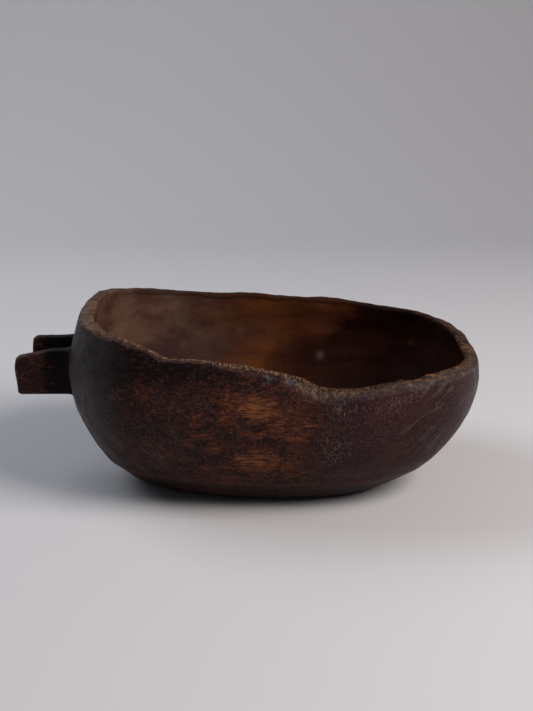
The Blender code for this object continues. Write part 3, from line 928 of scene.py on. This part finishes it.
    # Pale round spots on the far wall inside, more orange towards the lip
    pale_spot_colour = g.mix(g.ramp(x, 0.08, 0.11), PALE_SPOT_LIGHT, PALE_SPOT_ORANGE)
    inner = g.layers(
        g.mix(g.ramp(band, 0.30, 0.70), INNER_RED, INNER_ORANGE),
        (g.times(g.ramp(cloud, 0.42, 0.65), 0.45), INNER_CLOUD),
        (g.times(g.ramp(speckle, 0.45, 0.36), 0.45), INNER_PIT),
        (g.times(g.ramp(along, 0.030, -0.070), 0.75), back_wood_painted_sheen),
        (g.times(g.ramp(along, 0.030, 0.095), 0.90), lip_wood_painted_shade),
        (g.times(g.ramp(z, 0.090, 0.062), g.ramp(x, 0.02, -0.04), 0.65), BACK_SHADE),
        (g.times(on_floor, 0.85), floor_wood),
        (g.times(soot_and_shade, 0.85), INNER_SOOT),
        (g.times(pale_spots, g.ramp(speckle, 0.40, 0.55, 0.5, 1.0)), pale_spot_colour),
    )
    colour = g.mix(inside, colour, inner)

    # The worn rim: brown to tan fibres with dark ticks between them, turned at the lip; its chips, with
    # painted glints; and a painted highlight along the near rim's outer edge
    side_ticks = g.noise(at, (780, 330, 330), 4.0, 0.65, offset=(6, 3, 8))
    lip_ticks = g.noise(at, (330, 800, 420), 4.0, 0.65, offset=(2, 3, 1))
    ticks = g.mix(g.ramp(x, 0.085, 0.120), side_ticks, lip_ticks)
    ticks = g.node('ShaderNodeSeparateXYZ', {0: ticks})
    back_tan = g.mix(g.ramp(g.plus(blotch, ticks), 0.85, 1.15), BACK_RIM_DARK, BACK_RIM_LIGHT)
    tan = g.layers(
        g.mix(g.ramp(ticks, 0.44, 0.60), TICK_DARK, TAN),
        (g.times(g.ramp(x, 0.02, 0.045), 0.85), g.mix(g.ramp(ticks, 0.44, 0.60), DIP_TICK_DARK, DIP_TAN)),
        (g.times(g.ramp(blotch, 0.56, 0.66), 0.6), RIM_ORANGE),
        (g.ramp(speckle, 0.48, 0.39), RIM_PIT),
        (g.times(g.ramp(x, -0.078, -0.100), 0.75), back_tan),
    )
    worn_rim = g.plus(g.times(rim, 1.5), g.around_zero(speckle, 1.6), g.around_zero(blotch, 1.6))
    rim_mask = g.times(g.ramp(rim, 0.02, 0.25), g.ramp(worn_rim, 0.25, 1.05))
    ragged_chip = g.plus(chip, g.around_zero(speckle, 2.6), g.around_zero(blotch, 1.6))
    chip_mask = g.times(g.ramp(ragged_chip, 0.35, 0.75), g.ramp(chip, 0.02, 0.15))
    splinters = g.noise(at, (1500, 900, 420), 3.0, 0.6, offset=(9, 9, 1), distortion=0.6)
    # The chips: dark wood with painted glints along the splinters
    chip_wood_and_painted_glints = g.mix(g.ramp(splinters, 0.48, 0.60), CHIP_DARK, CHIP_PAINTED_GLINT)
    # A painted highlight along the near rim's outer edge
    painted_highlight = g.plus(speckle, g.times(flecks, 0.6), g.times(blotch, 0.5))
    painted_highlight = g.times(gloss_and_painted_highlight, g.ramp(painted_highlight, 0.98, 1.20))
    colour = g.layers(
        colour,
        (rim_mask, tan),
        (g.times(chip_mask, 0.85), chip_wood_and_painted_glints),
        (g.times(painted_highlight, 0.20), PAINTED_HIGHLIGHT_PALE),
    )

    # Light scratches and small nicks
    thin_strokes = strokes(g, at, 380, 0.0016, 0.00024, (0.2, 0.5, 0.9))
    scratch = g.times(g.ramp(g.times(thin_strokes, g.plus(0.45, scratched)), 0.50, 0.85), 0.6)
    easier = g.times(scratched, -0.13)
    chopped = g.ramp(chops, g.plus(0.66, easier), g.plus(0.72, easier))
    chopped = g.times(chopped, g.ramp(scratched, 0.05, 0.6, 0.2, 0.8))
    scratch = g.math('MAXIMUM', scratch, chopped)
    nick = g.ramp(g.cells(at, (150, 150, 150), offset=(0.5, 0.2, 0.7)), 0.085, 0.050)
    nick = g.times(nick, g.ramp(g.noise(at, 60, 1.0, 0.5, offset=(3, 3, 9)), 0.58, 0.64))
    marks = g.math('MAXIMUM', g.times(scratch, 0.75), g.times(nick, 0.8))
    marks = g.times(marks, g.ramp(inside, 0.5, 0.2))
    colour = g.mix(g.times(marks, 0.8), colour, SCRATCH_PALE)
    g.put(g.shader.inputs['Base Color'], colour)

    # Sheen of the wax: smoother on the patina, dull where the wood is bare
    rough = g.plus(
        g.ramp(blotch, 0.3, 0.7, 0.44, 0.58),
        g.times(end, g.ramp(cuts, 0.4, 0.6, -0.14, 0.0)),
        g.times(bare_mask, 0.14),
        g.times(g.math('MINIMUM', soot_and_shade, 1.0), 0.12),
        g.times(g.ramp(rim, 0.0, 0.2), 0.18),
        g.around_zero(crumbs, 0.25),
        g.times(chip_mask, -0.10),
        g.times(gloss_and_painted_highlight, -0.20),
        g.times(inside, 0.08),
    )
    specular = g.plus(0.15, g.times(end, 0.27), g.times(gloss_and_painted_highlight, 0.30))
    g.put(g.shader.inputs['Roughness'], g.math('MAXIMUM', rough, 0.20))
    g.put(g.shader.inputs['Specular IOR Level'], g.times(specular, g.ramp(inside, 0, 1, 1.0, 0.4)))
    g.put(g.shader.inputs['Coat Weight'], g.ramp(inside, 0, 1, 0.03, 0.0))
    g.shader.inputs['IOR'].default_value = 1.38
    g.shader.inputs['Coat Roughness'].default_value = 0.28

    # Relief in metres
    relief = g.plus(
        g.times(rings, 0.00010),
        g.times(fibres, g.ramp(bare, 0.1, 0.9, 0.00007, 0.00014)),
        g.times(pores, 0.00005),
        g.times(cuts, g.times(end, 0.00070)),
        g.times(blotch, 0.00022),
        g.times(speckle, g.plus(0.00030, g.times(rim, 0.00030))),
        g.times(curls, by_side(0.00008, 0.00002)),
        g.times(flecks, 0.00017),
        g.times(knife, -0.00020),
        g.times(ticks, g.times(rim, 0.00045)),
        g.times(crumbs, 0.00003),
        g.times(marks, -0.00010),
        g.times(bare_mask, -0.00005),
    )
    bump = g.node('ShaderNodeBump', {'Height': relief, 'Strength': 1.0, 'Distance': 1.0})
    g.put(g.shader.inputs['Normal'], bump)
    return g.material


# ---------------------------------------------------------------- camera, stage and light

def add_camera():
    """The camera of the photo: at arm's length, looking a little down on the near side."""
    data = bpy.data.cameras.new("camera")
    data.sensor_width = SENSOR_MM
    data.lens = LENS_MM
    camera = bpy.data.objects.new("camera", data)
    camera.location = CAMERA_PLACE
    camera.rotation_euler = (math.radians(CAMERA_TILT), 0, 0)
    bpy.context.scene.collection.objects.link(camera)
    bpy.context.scene.camera = camera


def add_light(name, place, size, power, colour):
    """A rectangular light that faces the scoop."""
    data = bpy.data.lights.new(name, 'AREA')
    data.shape = 'RECTANGLE'
    data.size, data.size_y = size
    data.energy = power
    data.color = colour
    lamp = bpy.data.objects.new(name, data)
    lamp.location = place
    lamp.rotation_euler = (Vector(LIT_POINT) - Vector(place)).to_track_quat('-Z', 'Y').to_euler()
    bpy.context.scene.collection.objects.link(lamp)


def add_stage():
    """A pale floor that sweeps up into a backdrop."""
    profile = [(FLOOR_FRONT, 0.0), (FLOOR_BACK, 0.0)]
    for step in range(1, SWEEP_STEPS + 1):
        angle = math.radians(90) * step / SWEEP_STEPS
        profile.append((FLOOR_BACK + SWEEP * math.sin(angle), SWEEP * (1 - math.cos(angle))))
    profile.append((FLOOR_BACK + SWEEP, BACKDROP_TOP))
    verts = [(x, y, z) for y, z in profile for x in (-FLOOR_HALF_WIDTH, FLOOR_HALF_WIDTH)]
    faces = [(2 * i, 2 * i + 1, 2 * i + 3, 2 * i + 2) for i in range(len(profile) - 1)]
    mesh = bpy.data.meshes.new("floor")
    mesh.from_pydata(verts, [], faces)
    mesh.shade_smooth()
    floor = bpy.data.objects.new("floor", mesh)
    bpy.context.scene.collection.objects.link(floor)
    material = bpy.data.materials.new("pale_floor")
    material.use_nodes = True
    shader = material.node_tree.nodes["Principled BSDF"]
    shader.inputs['Base Color'].default_value = FLOOR_COLOUR
    shader.inputs['Roughness'].default_value = FLOOR_ROUGHNESS
    mesh.materials.append(material)


def add_lights():
    """Soft daylight: a warm window at the right front, cool sky from behind on the left, and a dim room."""
    add_light("window", (1.00, -0.55, 1.00), (0.7, 0.7), 21, (1.0, 0.95, 0.91))
    add_light("sky", (-1.1, 0.5, 1.3), (1.2, 1.0), 15, (0.84, 0.91, 1.0))
    world = bpy.data.worlds.new("soft_room")
    world.use_nodes = True
    background = world.node_tree.nodes["Background"]
    background.inputs['Color'].default_value = ROOM_COLOUR
    background.inputs['Strength'].default_value = ROOM_STRENGTH
    bpy.context.scene.world = world
    bpy.context.scene.view_settings.view_transform = 'Standard'


add_camera()
add_stage()
add_lights()

bowl = carved_bowl()
bowl.data.materials.append(old_wood("bowl_wood_worn"))
outline = bpy.context.evaluated_depsgraph_get()
bowl_tree = BVHTree.FromObject(bowl, outline)
# The fifth number is the wear at the tip; less of it also gives more painted shade, as on the far prong
near_prong = carved_prong("carved_near_prong", "near_prong", bowl_tree, 0.0060, 1.0, 81)
far_prong = carved_prong("carved_far_prong", "far_prong", bowl_tree, 0.0008, 0.35, 91)
prong_wood = old_wood("prong_wood_worn")
for piece in (near_prong, far_prong):
    piece.data.materials.append(prong_wood)

for piece, node, slot in (
    (bowl, "hewn_bowl", "bowl_wood"),
    (near_prong, "near_prong", "prong_wood"),
    (far_prong, "far_prong", "prong_wood"),
):
    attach(piece, "root")
    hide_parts(node)
